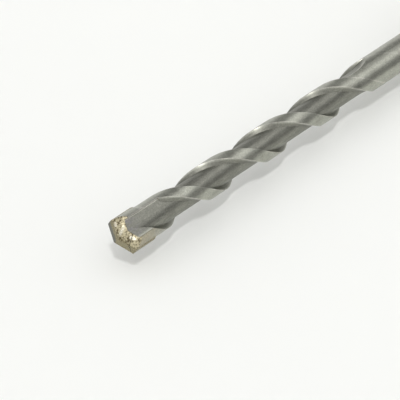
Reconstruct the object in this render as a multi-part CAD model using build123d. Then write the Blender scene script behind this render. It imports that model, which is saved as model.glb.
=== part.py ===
from build123d import *
from math import acos, cos, degrees, radians, sin, sqrt, tan
import os

# A hammer drill bit for masonry with a slotted quick-change shank. All sizes are in millimetres.
# The bit is drawn along X, as it lies in a lathe: the origin is the centre of the struck end of the
# shank, the tip points to +X, and the carbide plate is flat in the XY plane.
# The finished pieces are then stood on the struck end, tip up, because a round bit rolls when it lies.

# Whole bit
overall_length = 110.0

# How far every cutting shape reaches past the metal that it takes away
cut_overrun = 0.5

# Shank
shank_diameter = 10.0
shank_length = 40.0
end_chamfer = 0.9
shank_clocking = 90.0

# Two drive grooves, open at the struck end, milled with a disc cutter
drive_groove_width = 3.2
drive_groove_floor = 3.65
drive_groove_length = 29.0
drive_cutter_radius = 9.0
drive_corner_radius = 0.4

# Two lock grooves, closed at both ends, where the chuck's balls sit
lock_ball_radius = 3.5
lock_groove_floor = 3.6
lock_groove_start = 8.2
lock_groove_end = 27.8

# Shoulder between the shank and the body
shoulder_angle = 30.0
shoulder_radius = 0.8

# Fluted body
body_diameter = 4.6
core_diameter = 3.22
lead = 22.6
land_angle = 48.0
helix_start = 8.0
leading_wall_slope = 12.0
flute_full_depth_end = 47.2
flute_leave = 45.8
runout_cutter_radius = 14.0

# Straight channels at the head, where each flute begins beside the carbide
channel_near_wall = 1.33
channel_far_wall = 1.59
channel_corner_radius = 0.12

# Head
head_diameter = 4.9
head_length = 4.4
head_taper_length = 0.8
cheek_back_slope = 45.0
cheek_set_back = 0.1

# Carbide plate
cutting_diameter = 5.0
plate_thickness = 1.1
plate_length = 4.8
point_angle = 130.0
relief_angle = 5.0
plate_seat_chamfer = 0.25

# Brazing filler
braze_gap = 0.06
braze_skin = 0.07

# Values that follow from the sizes above
shank_radius = shank_diameter / 2
body_radius = body_diameter / 2
core_radius = core_diameter / 2
head_radius = head_diameter / 2
cutting_radius = cutting_diameter / 2
half_plate = plate_thickness / 2
point_slope = tan(radians(90 - point_angle / 2))
relief_slope = tan(radians(relief_angle))
cheek_slope = tan(radians(cheek_back_slope))
cheek_top = overall_length - half_plate * relief_slope - cheek_set_back
slot_half_width = half_plate + braze_gap
plate_seat = overall_length - plate_length
slot_floor = plate_seat - braze_gap
clear_of_all = 2 * shank_radius


def block(x, y, z):
    """A box between the two values that each axis is given."""
    size = [high - low for low, high in (x, y, z)]
    centre = [(high + low) / 2 for low, high in (x, y, z)]
    return Pos(*centre) * Box(*size)


def below(solid, point, normal):
    """What is left of a solid after all that lies on the normal's side of a plane is ground away."""
    return split(solid, bisect_by=Plane(origin=point, z_dir=normal), keep=Keep.BOTTOM)


def section_plane(x):
    """The plane across the bit at x, with its own axes along Y and Z."""
    return Plane(origin=(x, 0, 0), x_dir=(0, 1, 0), z_dir=(1, 0, 0))


def opposite(solid):
    """The same solid on the other side of the bit's axis."""
    return Rot(X=180) * solid


def turned_blank():
    """The bar as it leaves the lathe: shank, shoulder, body and the slightly larger head."""
    shoulder_length = (shank_radius - body_radius) / tan(radians(shoulder_angle))
    head_back = overall_length - head_length
    corners = [
        (0, 0),
        (0, shank_radius - end_chamfer),
        (end_chamfer, shank_radius),
        (shank_length, shank_radius),
        (shank_length + shoulder_length, body_radius),
        (head_back - head_taper_length, body_radius),
        (head_back, head_radius),
        (overall_length, head_radius),
        (overall_length, 0),
    ]
    profile = make_face(Polyline(*corners, close=True))
    shoulder = profile.vertices().filter_by_position(
        Axis.X, shank_length - shoulder_radius, shank_length + shoulder_length + shoulder_radius
    )
    return revolve(fillet(shoulder, shoulder_radius), Axis.X)


def drive_groove():
    """One open groove: flat floor, run out at its inner end by the radius of the disc cutter."""
    depth = shank_radius - drive_groove_floor
    runout = sqrt(2 * drive_cutter_radius * depth - depth**2)
    flat_end = drive_groove_length - runout
    top = shank_radius + cut_overrun
    half_width = drive_groove_width / 2
    slot = block((-cut_overrun, flat_end), (-half_width, half_width), (drive_groove_floor, top))
    floor_corners = slot.edges().filter_by(Axis.X).group_by(Axis.Z)[0]
    slot = fillet(floor_corners, drive_corner_radius)
    disc = Plane.XZ.offset(-half_width) * Pos(flat_end, drive_groove_floor + drive_cutter_radius)
    disc = disc * extrude(Circle(drive_cutter_radius), drive_groove_width)
    disc = fillet(disc.edges().filter_by(GeomType.CIRCLE), drive_corner_radius)
    disc &= block((flat_end, drive_groove_length + cut_overrun), (-half_width, half_width), (0, top))
    return slot + disc


def lock_groove():
    """One closed groove: the path of a ball that is sunk into the shank and moved along it."""
    half_chord_height = (
        (lock_groove_floor + lock_ball_radius) ** 2 + shank_radius**2 - lock_ball_radius**2
    ) / (2 * (lock_groove_floor + lock_ball_radius))
    overhang = sqrt(shank_radius**2 - half_chord_height**2)
    first = lock_groove_start + overhang
    last = lock_groove_end - overhang
    path_height = lock_groove_floor + lock_ball_radius
    travel = section_plane(first) * Pos(0, path_height) * Circle(lock_ball_radius)
    ends = [Pos(x, 0, path_height) * Sphere(lock_ball_radius) for x in (first, last)]
    return extrude(travel, last - first) + ends[0] + ends[1]


def trailing_edge_angle(from_tip):
    """The angle about X of the flute's edge on its shank side, at a distance from the tip."""
    near_wall_angle = degrees(acos(-channel_near_wall / body_radius))
    flute_angle = 180 - land_angle
    return near_wall_angle - flute_angle - (from_tip - helix_start) / lead * 360


def flute_section(x, trailing_angle):
    """The sector between the flute's two walls, across the bit, from near the axis to outside the bar."""
    leading_angle = trailing_angle + 180 - land_angle
    third = (leading_angle - trailing_angle) / 3
    outer = head_radius + cut_overrun
    wall_height = body_radius - core_radius
    far = clear_of_all

    def at(radius, angle):
        return (radius * cos(radians(angle)), radius * sin(radians(angle)))

    wall_foot = at(core_radius, leading_angle - leading_wall_slope)
    wall_top = at(body_radius, leading_angle)

    def on_wall(height):
        share = height / wall_height
        return tuple(foot + (top - foot) * share for foot, top in zip(wall_foot, wall_top))

    sector = Polyline(
        (0, 0),
        at(far, trailing_angle),
        at(2 * far, trailing_angle + third),
        at(2 * far, leading_angle - third),
        on_wall(far),
        on_wall(-cut_overrun),
        close=True,
    )
    return section_plane(x) * (make_face(sector) & (Circle(outer) - Circle(core_radius / 2)))


def runout_height(top):
    """How far along the bit the disc of the flute cutter needs to climb from the core to a radius."""
    rise = top - core_radius
    return sqrt(2 * runout_cutter_radius * rise - rise**2)


def metal_below_cutter(bottom, x):
    """Side view of what is left under the flute: level at the core, then a ramp of the disc's radius."""
    top = head_radius + 2 * cut_overrun
    start = overall_length - flute_full_depth_end
    end = start - runout_height(top)
    back = end - cut_overrun
    middle = (start + end) / 2
    sag = sqrt(runout_cutter_radius**2 - (start - middle) ** 2)
    ramp = ThreePointArc(
        (start, core_radius), (middle, core_radius + runout_cutter_radius - sag), (end, top)
    )
    sides = Polyline(
        (end, top), (back, top), (back, bottom), (x, bottom), (x, core_radius), (start, core_radius)
    )
    return make_face(Curve() + [ramp, sides])


def helical_flute():
    """One flute: it leaves the straight channel as a helix and ends where its cutter leaves the bar."""
    far = clear_of_all
    first = helix_start - (90 - trailing_edge_angle(helix_start)) / 360 * lead
    last = flute_full_depth_end + runout_height(head_radius + 2 * cut_overrun)
    start_x = overall_length - first
    past_start = start_x + cut_overrun
    turn = (last - first) / lead * 360
    section = flute_section(start_x, 90)
    flute = Part() + Solid.extrude_linear_with_rotation(
        section.face(), (start_x, 0, 0), (first - last, 0, 0), turn
    )
    flute -= revolve(metal_below_cutter(0, past_start), Axis.X)

    # beside the carbide the near half of the floor stays flat and the near wall stays straight
    helix_x = overall_length - helix_start
    leading_angle = trailing_edge_angle(helix_start) + 180 - land_angle
    flat_x = helix_x - (leading_angle - 90) / 360 * lead
    flute -= block((flat_x, past_start), (-far, 0), (-far, core_radius))
    flute -= block((helix_x, past_start), (-far, -channel_near_wall), (-far, far))

    # at the shank end the cutter goes straight off along the tangent of the core
    tangent_turn = degrees(acos(core_radius / body_radius))
    leave_angle = trailing_edge_angle(flute_leave) + tangent_turn
    leave_x = overall_length - flute_leave + tangent_turn / 360 * lead
    tangent_floor = Rot(X=90) * extrude(Plane.XY * metal_below_cutter(-far, leave_x), -far)
    return flute - Rot(X=leave_angle - 90) * tangent_floor


def straight_channel():
    """One flat-bottomed channel beside the carbide, tangent to the core, where a flute begins."""
    start = overall_length - helix_start
    channel = block(
        (start, overall_length + cut_overrun),
        (-channel_near_wall, channel_far_wall),
        (core_radius, 2 * body_radius),
    )
    floor_corners = channel.edges().filter_by(Axis.X).group_by(Axis.Z)[0]
    return fillet(floor_corners, channel_corner_radius)


def end_ground(blank, top):
    """A blank whose end is ground to a roof along Y, and down again away from the carbide plate."""
    for side in (1, -1):
        for face in (1, -1):
            blank = below(
                blank, (top + half_plate * cheek_slope, 0, 0), (1, side * point_slope, face * cheek_slope)
            )
    return blank


def drill_body():
    """The steel bit: shank with its grooves, neck, fluted body and the slotted head."""
    body = end_ground(turned_blank(), cheek_top)
    for groove in (drive_groove(), Rot(X=90) * lock_groove()):
        groove = Rot(X=shank_clocking - 90) * groove
        body -= groove
        body -= opposite(groove)
    for hollow in (helical_flute(), straight_channel()):
        body -= hollow
        body -= opposite(hollow)
    slot = block(
        (slot_floor, overall_length + cut_overrun),
        (-clear_of_all, clear_of_all),
        (-slot_half_width, slot_half_width),
    )
    return body - slot


def carbide_plate():
    """The hard-metal plate: ends ground round, and a roof with one relief face behind each lip."""
    end = overall_length + cut_overrun
    plate = block((plate_seat, end), (-cutting_radius, cutting_radius), (-half_plate, half_plate))
    plate &= section_plane(plate_seat) * extrude(Circle(cutting_radius), end - plate_seat)
    seat_edges = plate.edges().filter_by(GeomType.LINE).group_by(Axis.X)[0]
    plate = chamfer(seat_edges, plate_seat_chamfer)
    for side in (1, -1):
        plate = below(plate, (overall_length, 0, 0), (1, side * point_slope, -side * relief_slope))
    return plate


def braze_filler(body, plate):
    """The brass-coloured filler: a film round the plate in its slot, and a skin over the cheeks' ends."""
    far = clear_of_all
    film = block((slot_floor, cheek_top), (-far, far), (-slot_half_width, slot_half_width))
    film &= section_plane(slot_floor) * extrude(Circle(head_radius), overall_length)
    skin_top = cheek_top + braze_skin / cos(radians(cheek_back_slope))
    head_bar = section_plane(slot_floor) * extrude(Circle(head_radius), overall_length - slot_floor)
    skin = end_ground(head_bar, skin_top)
    skin -= end_ground(head_bar, cheek_top)
    channel = straight_channel()
    skin -= channel
    skin -= opposite(channel)
    over_plate = block(
        (plate_seat + plate_seat_chamfer, 2 * overall_length), (-far, far), (-half_plate, half_plate)
    )
    return end_ground(film, skin_top) + skin - over_plate - plate - body


body = drill_body()
plate = carbide_plate()
filler = braze_filler(body, plate)
stood_on_end = Rot(Y=-90)

os.makedirs("parts", exist_ok=True)
for name, solid in (("drill_body", body), ("carbide_insert", plate), ("braze_filler", filler)):
    export_step(stood_on_end * solid, f"parts/{name}.step")
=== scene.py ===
import bpy
import math
import random
from mathutils import Matrix, Quaternion, Vector


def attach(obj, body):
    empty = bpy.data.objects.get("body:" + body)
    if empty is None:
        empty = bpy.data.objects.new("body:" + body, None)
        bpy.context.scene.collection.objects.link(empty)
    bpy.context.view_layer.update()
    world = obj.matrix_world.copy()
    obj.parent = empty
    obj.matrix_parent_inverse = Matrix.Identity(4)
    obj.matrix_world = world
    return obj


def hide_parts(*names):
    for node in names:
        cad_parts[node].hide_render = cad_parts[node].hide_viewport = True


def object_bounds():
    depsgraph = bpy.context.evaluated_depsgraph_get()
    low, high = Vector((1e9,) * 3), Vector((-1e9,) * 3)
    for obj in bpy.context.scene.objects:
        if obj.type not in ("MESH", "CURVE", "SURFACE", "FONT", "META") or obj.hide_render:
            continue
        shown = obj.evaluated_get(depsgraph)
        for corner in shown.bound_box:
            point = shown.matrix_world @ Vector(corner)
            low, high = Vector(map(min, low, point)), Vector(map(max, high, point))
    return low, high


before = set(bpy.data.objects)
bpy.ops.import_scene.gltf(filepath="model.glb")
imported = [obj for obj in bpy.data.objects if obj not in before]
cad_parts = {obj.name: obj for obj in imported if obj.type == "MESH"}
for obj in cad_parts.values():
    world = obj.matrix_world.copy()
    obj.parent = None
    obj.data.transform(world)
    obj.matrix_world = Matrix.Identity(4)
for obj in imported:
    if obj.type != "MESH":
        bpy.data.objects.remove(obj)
cad_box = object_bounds()


# The steel bit. One bar of tool steel is turned to a shank, a shoulder and a thin body, its two flutes
# are milled, and the whole is hardened and blasted to a dull grey. The lands have since rubbed against
# stone and are worn bright along their edges, and a painted highlight lies on these edges and along the
# top of the channel wall at the head; the heat of brazing has stained the steel at the head.
class Value:
    """A socket that can be used in sums, so that a pattern reads as a formula."""

    def __init__(self, tree, socket):
        self.tree = tree
        self.socket = socket

    def node(self, kind, settings=None, **inputs):
        """Adds a node of any kind, with its settings first and then its inputs, and gives it back."""
        made = self.tree.nodes.new(kind)
        for name, value in (settings or {}).items():
            setattr(made, name, value)
        for name, value in inputs.items():
            target = made.inputs[int(name[1:])] if name[1:].isdigit() else made.inputs[name]
            if isinstance(value, Value):
                self.tree.links.new(value.socket, target)
            else:
                target.default_value = value
        return made

    def out(self, kind, output, settings=None, **inputs):
        return Value(self.tree, self.node(kind, settings, **inputs).outputs[output])

    def math(self, operation, first, second=0.0, third=0.0):
        settings = {"operation": operation}
        return self.out("ShaderNodeMath", 0, settings, i0=first, i1=second, i2=third)

    def __add__(self, other):
        return self.math("ADD", self, other)

    def __radd__(self, other):
        return self.math("ADD", other, self)

    def __sub__(self, other):
        return self.math("SUBTRACT", self, other)

    def __rsub__(self, other):
        return self.math("SUBTRACT", other, self)

    def __mul__(self, other):
        return self.math("MULTIPLY", self, other)

    def __rmul__(self, other):
        return self.math("MULTIPLY", other, self)

    def step(self, low, high):
        """0 below low, 1 above high and smooth between; the other way round if low is above high."""
        settings = {"interpolation_type": "SMOOTHSTEP", "clamp": True}
        if low < high:
            return self.out("ShaderNodeMapRange", 0, settings, i0=self, i1=low, i2=high)
        return 1 - self.out("ShaderNodeMapRange", 0, settings, i0=self, i1=high, i2=low)

    def ridge(self, centre, half_width):
        """1 at a value and 0 further away than half_width."""
        return self.math("ABSOLUTE", self - centre).step(half_width, 0)

    def noise(self, size, detail=2.0, roughness=0.5):
        """Cloudy values about 0.5 over a position, with patches of a size in its units."""
        settings = {"noise_dimensions": "3D"}
        inputs = {"Vector": self, "Scale": 1 / size, "Detail": detail, "Roughness": roughness}
        return self.out("ShaderNodeTexNoise", 0, settings, **inputs)

    def mix(self, colour_a, colour_b):
        """colour_a where this is 0 and colour_b where it is 1, and past them outside that range."""
        settings = {"data_type": "RGBA", "clamp_factor": False}
        ends = [c if isinstance(c, Value) else (*c, 1) for c in (colour_a, colour_b)]
        return self.out("ShaderNodeMix", 2, settings, i0=self, i6=ends[0], i7=ends[1])


def start_material(name):
    """A new material, its shader, and the position in millimetres with x along the bit to its tip."""
    material = bpy.data.materials.new(name)
    material.use_nodes = True
    tree = material.node_tree
    shader = tree.nodes["Principled BSDF"]
    kit = Value(tree, None)
    place = kit.out("ShaderNodeTexCoord", "Object")
    millimetres = kit.out("ShaderNodeVectorMath", 0, {"operation": "SCALE"}, i0=place, Scale=1000.0)
    quarter_turn = (0, math.radians(90), 0)
    laid_down = kit.out("ShaderNodeMapping", 0, {}, Vector=millimetres, Rotation=quarter_turn)
    return material, shader, laid_down


def split_axes(position):
    """The three numbers of a position."""
    parts = position.node("ShaderNodeSeparateXYZ", {}, i0=position)
    return [Value(position.tree, parts.outputs[n]) for n in range(3)]


def link(value, shader, socket):
    value.tree.links.new(value.socket, shader.inputs[socket])


steel_colour = (0.41, 0.415, 0.36)
dark_scale = (0.30, 0.30, 0.258)
flute_grey = (0.225, 0.225, 0.195)
# Pale steel for the worn edges, also used for the painted highlight along them.
worn_and_highlight_steel = (0.62, 0.61, 0.55)
tan_stain = (0.42, 0.37, 0.27)
blue_stain = (0.215, 0.20, 0.225)

# Sizes of patterns are in millimetres and degrees, and agree with the milled shape of the bit.
tip_x = 110.0
body_radius = 2.3
lead = 22.6
helix_start = 8.0
near_wall = 1.33
core_radius = 1.61
flute_angle = 132.0
flutes_fade_out = (62.0, 58.0)
lands_fade_out = (57.0, 54.0)
trailing_half_width = 0.14
leading_half_width = 0.11
wall_half_width = 0.2
speckle_size = 0.14
mottle_size = 1.3
streak_size = 0.4
streak_stretch = (0.25, 1, 1)

steel, steel_shader, place = start_material("blasted_steel")
x, y, z = split_axes(place)
from_tip = tip_x - x
radius = place.math("SQRT", y * y + z * z)
angle = place.math("ARCTAN2", z, y) * math.degrees(1)
first_edge = math.degrees(math.acos(-near_wall / body_radius)) - flute_angle
past_edge = place.math("MAXIMUM", from_tip - helix_start, 0.0) * (360 / lead)
around = place.math("WRAP", angle + past_edge - first_edge, 180.0, 0.0)
arc = math.radians(1) * body_radius * math.cos(math.atan(2 * math.pi * body_radius / lead))

speckle = place.noise(speckle_size, 3.0, 0.7)
mottle = place.noise(mottle_size, 3.0, 0.6)
stretched = place.out("ShaderNodeVectorMath", 0, {"operation": "MULTIPLY"}, i0=place, i1=streak_stretch)
streaks = stretched.noise(streak_size, 4.0, 0.65)
on_land = radius.step(body_radius - 0.14, body_radius - 0.04)
in_flute = radius.step(body_radius - 0.1, body_radius - 0.35) * from_tip.step(*flutes_fade_out)
# The edge lines of the lands: partly worn steel, partly a painted highlight along the edges.
trailing_line = (around * arc).ridge(0.0, trailing_half_width)
trailing_line = trailing_line + ((180.0 - around) * arc).ridge(0.0, trailing_half_width)
leading_line = ((around - flute_angle) * arc).ridge(0.0, leading_half_width)
helical = from_tip.step(*lands_fade_out) * from_tip.step(helix_start - 0.2, helix_start)
same_side = place.math("SIGN", z) * y
# A painted highlight: a bright line along the top of the channel's near wall at the head.
channel_highlight = (same_side + near_wall).ridge(0.0, wall_half_width)
channel_highlight = channel_highlight * radius.step(core_radius + 0.1, core_radius + 0.3)
channel_highlight = channel_highlight * from_tip.step(helix_start + 0.1, helix_start - 0.1)
patchy_lines = mottle.step(0.3, 0.6) * 0.5 + 0.5
edge_wear_and_highlight = on_land * helical * patchy_lines * (trailing_line * 0.65 + leading_line * 0.75)
edge_wear_and_highlight = place.math("MINIMUM", edge_wear_and_highlight + channel_highlight, 1.0)

colour = mottle.step(0.25, 0.65).mix(dark_scale, steel_colour)
colour = (streaks.step(0.35, 0.7) * 0.6).mix(colour, steel_colour)
colour = (in_flute * (0.95 - streaks.step(0.4, 0.65) * 0.25)).mix(colour, flute_grey)
hot = from_tip.step(8.0, 1.5)
hottest = from_tip.step(4.5, 1.5)
colour = (hottest * in_flute * streaks.step(0.45, 0.6) * 0.55).mix(colour, blue_stain)
colour = (hot * on_land * y.step(-0.5, 1.0) * mottle.step(0.25, 0.5) * 0.8).mix(colour, tan_stain)
# Worn edges and painted highlights are coloured here in pale steel.
colour = edge_wear_and_highlight.mix(colour, worn_and_highlight_steel)
colour = ((speckle - 0.5) * 1.5 + 1).mix((0, 0, 0), colour)
link(colour, steel_shader, "Base Color")
link(0.33 + (speckle - 0.5) * 0.25 + in_flute * 0.1, steel_shader, "Roughness")
bumps = speckle * 0.6 + streaks * 0.6
soft_edges = place.out("ShaderNodeBevel", 0, {"samples": 4}, Radius=0.00007)
relief = place.out(
    "ShaderNodeBump", 0, {}, Height=bumps, Strength=0.35, Distance=0.00005, Normal=soft_edges
)
link(relief, steel_shader, "Normal")
steel_shader.inputs["Metallic"].default_value = 1.0
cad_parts["drill_body"].data.materials.clear()
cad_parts["drill_body"].data.materials.append(steel)


# The carbide plate. Tungsten carbide is pressed and sintered to shape, ground to its roof and brazed
# across the tip. One lip is bare and dull grey; the rest has a brown film of flux and filler.
carbide_grey = (0.12, 0.12, 0.105)
carbide_pale = (0.22, 0.22, 0.195)
flux_brown = (0.13, 0.11, 0.06)
flux_olive = (0.42, 0.38, 0.25)
dark_line_colour = (0.03, 0.025, 0.015)
dark_line_offset = 1.87
dark_line_slant = 0.72
dark_line_half_width = 0.09
grain_size = 0.09
cloud_size = 0.4

carbide, carbide_shader, place = start_material("brazed_carbide")
x, y, z = split_axes(place)
grain = place.noise(grain_size, 2.0, 0.6)
clouds = place.noise(cloud_size, 3.0, 0.6)
bare = (z * -1 + (clouds - 0.5) * 0.5).step(-0.12, 0.12)
bare = bare * (y + (clouds - 0.5) * 0.6).step(0.15, -0.15)
# A thin dark line runs slantwise across the plate near one cheek.
dark_line = y + z * dark_line_slant + (clouds - 0.5) * 0.1
dark_line = dark_line.ridge(dark_line_offset, dark_line_half_width) * z.step(-0.45, -0.2)
film = grain.step(0.35, 0.65).mix(flux_brown, flux_olive)
ground = grain.step(0.3, 0.7).mix(carbide_grey, carbide_pale)
colour = dark_line.mix(bare.mix(film, ground), dark_line_colour)
link(colour, carbide_shader, "Base Color")
link(0.4 + (grain - 0.5) * 0.3, carbide_shader, "Roughness")
relief = place.out("ShaderNodeBump", 0, {}, Height=grain + clouds, Strength=0.4, Distance=0.00005)
link(relief, carbide_shader, "Normal")
carbide_shader.inputs["Metallic"].default_value = 0.75
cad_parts["carbide_insert"].data.materials.clear()
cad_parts["carbide_insert"].data.materials.append(carbide)


# The brazing filler. Brass-coloured filler metal has run out of the slot over the ground cheeks. It is
# brown where flux is left on it, and a few patches of painted highlight make it almost white.
braze_gold = (0.60, 0.54, 0.37)
braze_glint_white = (0.98, 0.94, 0.80)
braze_brown = (0.13, 0.105, 0.06)
clump_size = 0.5
ripple_size = 0.24
fine_size = 0.13

braze, braze_shader, place = start_material("brazing_filler")
x, y, z = split_axes(place)
clumps = place.noise(clump_size, 3.0, 0.6)
fine = place.noise(fine_size, 3.0, 0.65)
cells = {"feature": "SMOOTH_F1"}
ripples = place.out("ShaderNodeTexVoronoi", 0, cells, Vector=place, Scale=1 / ripple_size)
wander = (clumps - 0.5) * 0.5


def glint_patch(along_plate, off_plate, half_length, half_width, slant):
    """1 in the middle of a patch of painted highlight on a cheek, and 0 round it."""
    along = (y + wander - along_plate) * math.cos(slant) + (z - off_plate) * math.sin(slant)
    aside = (z + wander - off_plate) * math.cos(slant) - (y - along_plate) * math.sin(slant)
    long_way = along * (1 / half_length)
    short_way = aside * (1 / half_width)
    return place.math("SQRT", long_way * long_way + short_way * short_way).step(1.0, 0.55)


# The bright patches are painted highlights on the filler.
bright = glint_patch(-1.67, 0.72, 0.42, 0.16, 0.1) + glint_patch(-0.5, 1.12, 0.62, 0.28, -0.8)
bright = place.math("MINIMUM", bright + glint_patch(1.05, 1.28, 0.5, 0.22, 0.0), 1.0)
# The same thin dark line runs on across the filler.
dark_line = y + z * dark_line_slant + (clumps - 0.5) * 0.1
dark_line = dark_line.ridge(dark_line_offset, dark_line_half_width)
colour = (ripples + (fine - 0.5) * 1.3).step(0.3, 0.75).mix(braze_gold, braze_brown)
# Painted highlight: near-white colour in the patches.
colour = (bright * fine.step(0.35, 0.6)).mix(colour, braze_glint_white)
colour = (dark_line * 0.85).mix(colour, dark_line_colour)
link(colour, braze_shader, "Base Color")
link(0.42 + (fine - 0.5) * 0.3 - bright * 0.15, braze_shader, "Roughness")
relief = place.out("ShaderNodeBump", 0, {}, Height=fine - ripples * 0.7, Strength=0.5, Distance=0.0001)
link(relief, braze_shader, "Normal")
braze_shader.inputs["Metallic"].default_value = 0.9
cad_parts["braze_filler"].data.materials.clear()
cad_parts["braze_filler"].data.materials.append(braze)


# The beads of the filler. Where the melted filler wet the cheeks it froze in small flat drops. One drop
# is modelled, and its copies are scattered over the faces that look towards the tip, and sunk in them
# by a little more than half.
bead_radius = 0.00008
bead_spacing = 0.000195
bead_flatness = 0.55
bead_sunk = 0.000025
bead_unevenness = 0.00001
smallest_bead = 0.5
largest_bead = 1.25
facing_tip = 0.35
highest_bead = 0.1097
weld_distance = 1e-7
smooth_below = math.radians(50)

bpy.ops.object.select_all(action="DESELECT")
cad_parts["braze_filler"].select_set(True)
bpy.context.view_layer.objects.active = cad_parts["braze_filler"]
bpy.ops.object.duplicate()
beaded = bpy.context.object
beaded.name = "beaded_filler"
bpy.ops.object.mode_set(mode="EDIT")
bpy.ops.mesh.select_all(action="SELECT")
bpy.ops.mesh.remove_doubles(threshold=weld_distance)
bpy.ops.object.mode_set(mode="OBJECT")

bpy.ops.object.select_all(action="DESELECT")
bpy.ops.mesh.primitive_ico_sphere_add(subdivisions=2, radius=bead_radius)
bead = bpy.context.object
bead.data.materials.append(braze)
bpy.ops.object.mode_set(mode="EDIT")
bpy.ops.mesh.select_all(action="SELECT")
bpy.ops.transform.resize(value=(1, 1, bead_flatness))
bpy.ops.transform.vertex_random(offset=bead_unevenness, seed=3)
bpy.ops.object.mode_set(mode="OBJECT")

chance = random.Random(5)
drops = []
for face in beaded.data.polygons:
    if face.normal.z < facing_tip:
        continue
    first, second, third = (beaded.data.vertices[n].co for n in face.vertices[:3])
    for number in range(int(face.area / bead_spacing**2 + chance.random())):
        low, high = sorted((chance.random(), chance.random()))
        spot = first * low + second * (high - low) + third * (1 - high)
        if spot.z > highest_bead:
            continue
        spin = Quaternion((0, 0, 1), chance.uniform(0, math.tau))
        turn = face.normal.to_track_quat("Z", "Y") @ spin
        size = Vector((1, 1, 1)) * chance.uniform(smallest_bead, largest_bead)
        drop = bpy.data.objects.new("drop", bead.data.copy())
        drop.data.transform(Matrix.LocRotScale(spot - bead_sunk * face.normal, turn, size))
        bpy.context.scene.collection.objects.link(drop)
        drops.append(drop)

bpy.ops.object.select_all(action="DESELECT")
for drop in drops:
    drop.select_set(True)
beaded.select_set(True)
bpy.context.view_layer.objects.active = beaded
bpy.ops.object.join()
bpy.data.objects.remove(bead)
bpy.ops.object.shade_smooth_by_angle(angle=smooth_below)
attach(beaded, "root")
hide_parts("braze_filler")


# The white sheet that the bit touches all along its shank. The photograph shows the bit lying on it. A
# round bit rolls when it lies, so the part stands on its end, and the sheet, the lights and the camera
# are turned with it. The sheet is seen from the bit's side only, so that it hides nothing from behind.
across = math.radians(49.3)
bit_roll = math.radians(-33.75)
lying_to_standing = Quaternion((0, 1, 0), math.radians(-90)) @ Quaternion((1, 0, 0), -bit_roll)
right = lying_to_standing @ Vector((-math.cos(across), math.sin(across), 0))
away = lying_to_standing @ Vector((-math.sin(across), -math.cos(across), 0))
up = lying_to_standing @ Vector((0, 0, 1))

shank_radius = 0.005
sheet_size = 0.5
sheet_height = 0.09
paper_white = (0.90, 0.905, 0.885)
paper_shade = 0.985


def start_stage(name, size, place, turn):
    """A square card of the stage, facing the way that its turn gives it."""
    bpy.ops.object.select_all(action="DESELECT")
    bpy.ops.mesh.primitive_plane_add(size=size, location=place, rotation=turn.to_euler())
    bpy.context.object.name = name
    return bpy.context.object


paper = bpy.data.materials.new("white_paper")
paper.use_nodes = True
paper_shader = paper.node_tree.nodes["Principled BSDF"]
kit = Value(paper.node_tree, None)
spot = kit.out("ShaderNodeTexCoord", "Object")
cloud = spot.noise(0.03, 2.0, 0.5)
paper_grey = tuple(paper_shade * part for part in paper_white)
link(cloud.mix(paper_grey, paper_white), paper_shader, "Base Color")
paper_shader.inputs["Roughness"].default_value = 0.9
paper_shader.inputs["Specular IOR Level"].default_value = 0.1
from_behind = kit.out("ShaderNodeNewGeometry", "Backfacing")
clear = kit.out("ShaderNodeBsdfTransparent", 0)
front = Value(paper.node_tree, paper_shader.outputs[0])
one_sided = kit.out("ShaderNodeMixShader", 0, {}, i0=from_behind, i1=front, i2=clear)
link(one_sided, paper.node_tree.nodes["Material Output"], "Surface")
sheet_place = -shank_radius * up + Vector((0, 0, sheet_height))
sheet = start_stage("sheet", sheet_size, sheet_place, lying_to_standing)
sheet.data.materials.append(paper)


# The floor that the bit stands on: a wide, matt, nearly white board. It is below the picture's edge, and
# it isn't mirrored in the steel, which reflects the room as it did when the bit lay on the sheet.
board_size = 6.0
board_white = (0.86, 0.86, 0.85)
board_shade = 0.98

board_paint = bpy.data.materials.new("white_board")
board_paint.use_nodes = True
board_shader = board_paint.node_tree.nodes["Principled BSDF"]
kit = Value(board_paint.node_tree, None)
spot = kit.out("ShaderNodeTexCoord", "Object")
cloud = spot.noise(0.05, 2.0, 0.5)
board_grey = tuple(board_shade * part for part in board_white)
link(cloud.mix(board_grey, board_white), board_shader, "Base Color")
board_shader.inputs["Roughness"].default_value = 0.9
board_shader.inputs["Specular IOR Level"].default_value = 0.1
board = start_stage("board", board_size, Vector((0, 0, cad_box[0][2])), Quaternion())
board.visible_glossy = False
board.data.materials.append(board_paint)


# The light: one large lamp that stands above the camera gives the shadow, and a pale room gives the
# rest. Brighter patches of the room draw the long highlights down the bit.
lamp_share = 0.22
lamp_width = math.radians(5.7)
room_dim = 0.32
bright_side_more = 0.64
window_more = 1.1
far_wall_more = 0.8

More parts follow.
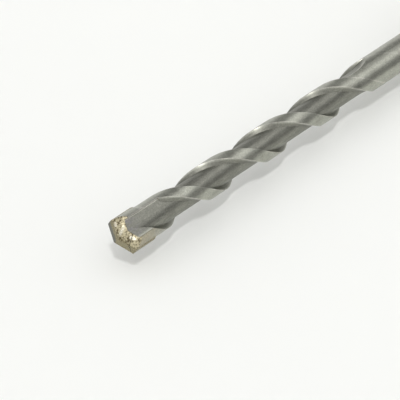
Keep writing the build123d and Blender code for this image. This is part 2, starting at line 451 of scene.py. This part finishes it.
lamp_travel = (-0.02 * right + 0.64 * away - up).normalized()
lamp = bpy.data.lights.new("lamp", "SUN")
lamp.energy = lamp_share * math.pi / -lamp_travel.dot(up)
lamp.angle = lamp_width
lamp_object = bpy.data.objects.new("lamp", lamp)
bpy.context.scene.collection.objects.link(lamp_object)
lamp_object.rotation_euler = lamp_travel.to_track_quat("-Z", "Y").to_euler()

room = bpy.data.worlds.new("room")
bpy.context.scene.world = room
room.use_nodes = True
room_shader = room.node_tree.nodes["Background"]
kit = Value(room.node_tree, None)
towards = kit.out("ShaderNodeTexCoord", "Generated")


def facing(direction):
    """How nearly a ray points in a direction: 1 straight at it and 0 square to it."""
    settings = {"operation": "DOT_PRODUCT"}
    return towards.out("ShaderNodeVectorMath", "Value", settings, i0=towards, i1=direction.normalized())


window = facing(0.62 * right + 0.25 * away + 0.74 * up)
bright_side = facing(-0.3 * right - 0.6 * away + 0.7 * up)
far_wall = facing(away)
room_level = room_dim + bright_side.step(0.0, 0.7) * bright_side_more
room_level = room_level + window.step(0.9, 0.99) * window_more
room_level = room_level + far_wall.step(0.84, 0.97) * far_wall_more
link(room_level, room_shader, "Strength")
room_shader.inputs["Color"].default_value = (1, 1, 1, 1)


# The camera, as it stood for the photograph: low, far away and looking down at the tip.
camera_elevation = math.radians(35.0)
camera_distance = 0.3328
focal_pixels = 2553.0
image_pixels = 400.0
sensor_width = 36.0
tip_foot = Vector((0, 0, 0.110)) - shank_radius * up
look_at = tip_foot + 0.0104 * right + 0.0160 * away

camera_data = bpy.data.cameras.new("camera")
camera_data.sensor_width = sensor_width
camera_data.lens = focal_pixels / image_pixels * sensor_width
camera_data.clip_start = 0.01
camera = bpy.data.objects.new("camera", camera_data)
bpy.context.scene.collection.objects.link(camera)
line_of_sight = math.cos(camera_elevation) * away - math.sin(camera_elevation) * up
camera.location = look_at - camera_distance * line_of_sight
camera_turn = Matrix((right, -line_of_sight.cross(right), -line_of_sight)).transposed()
camera.rotation_euler = camera_turn.to_euler()
bpy.context.scene.camera = camera

bpy.context.scene.view_settings.view_transform = "Standard"
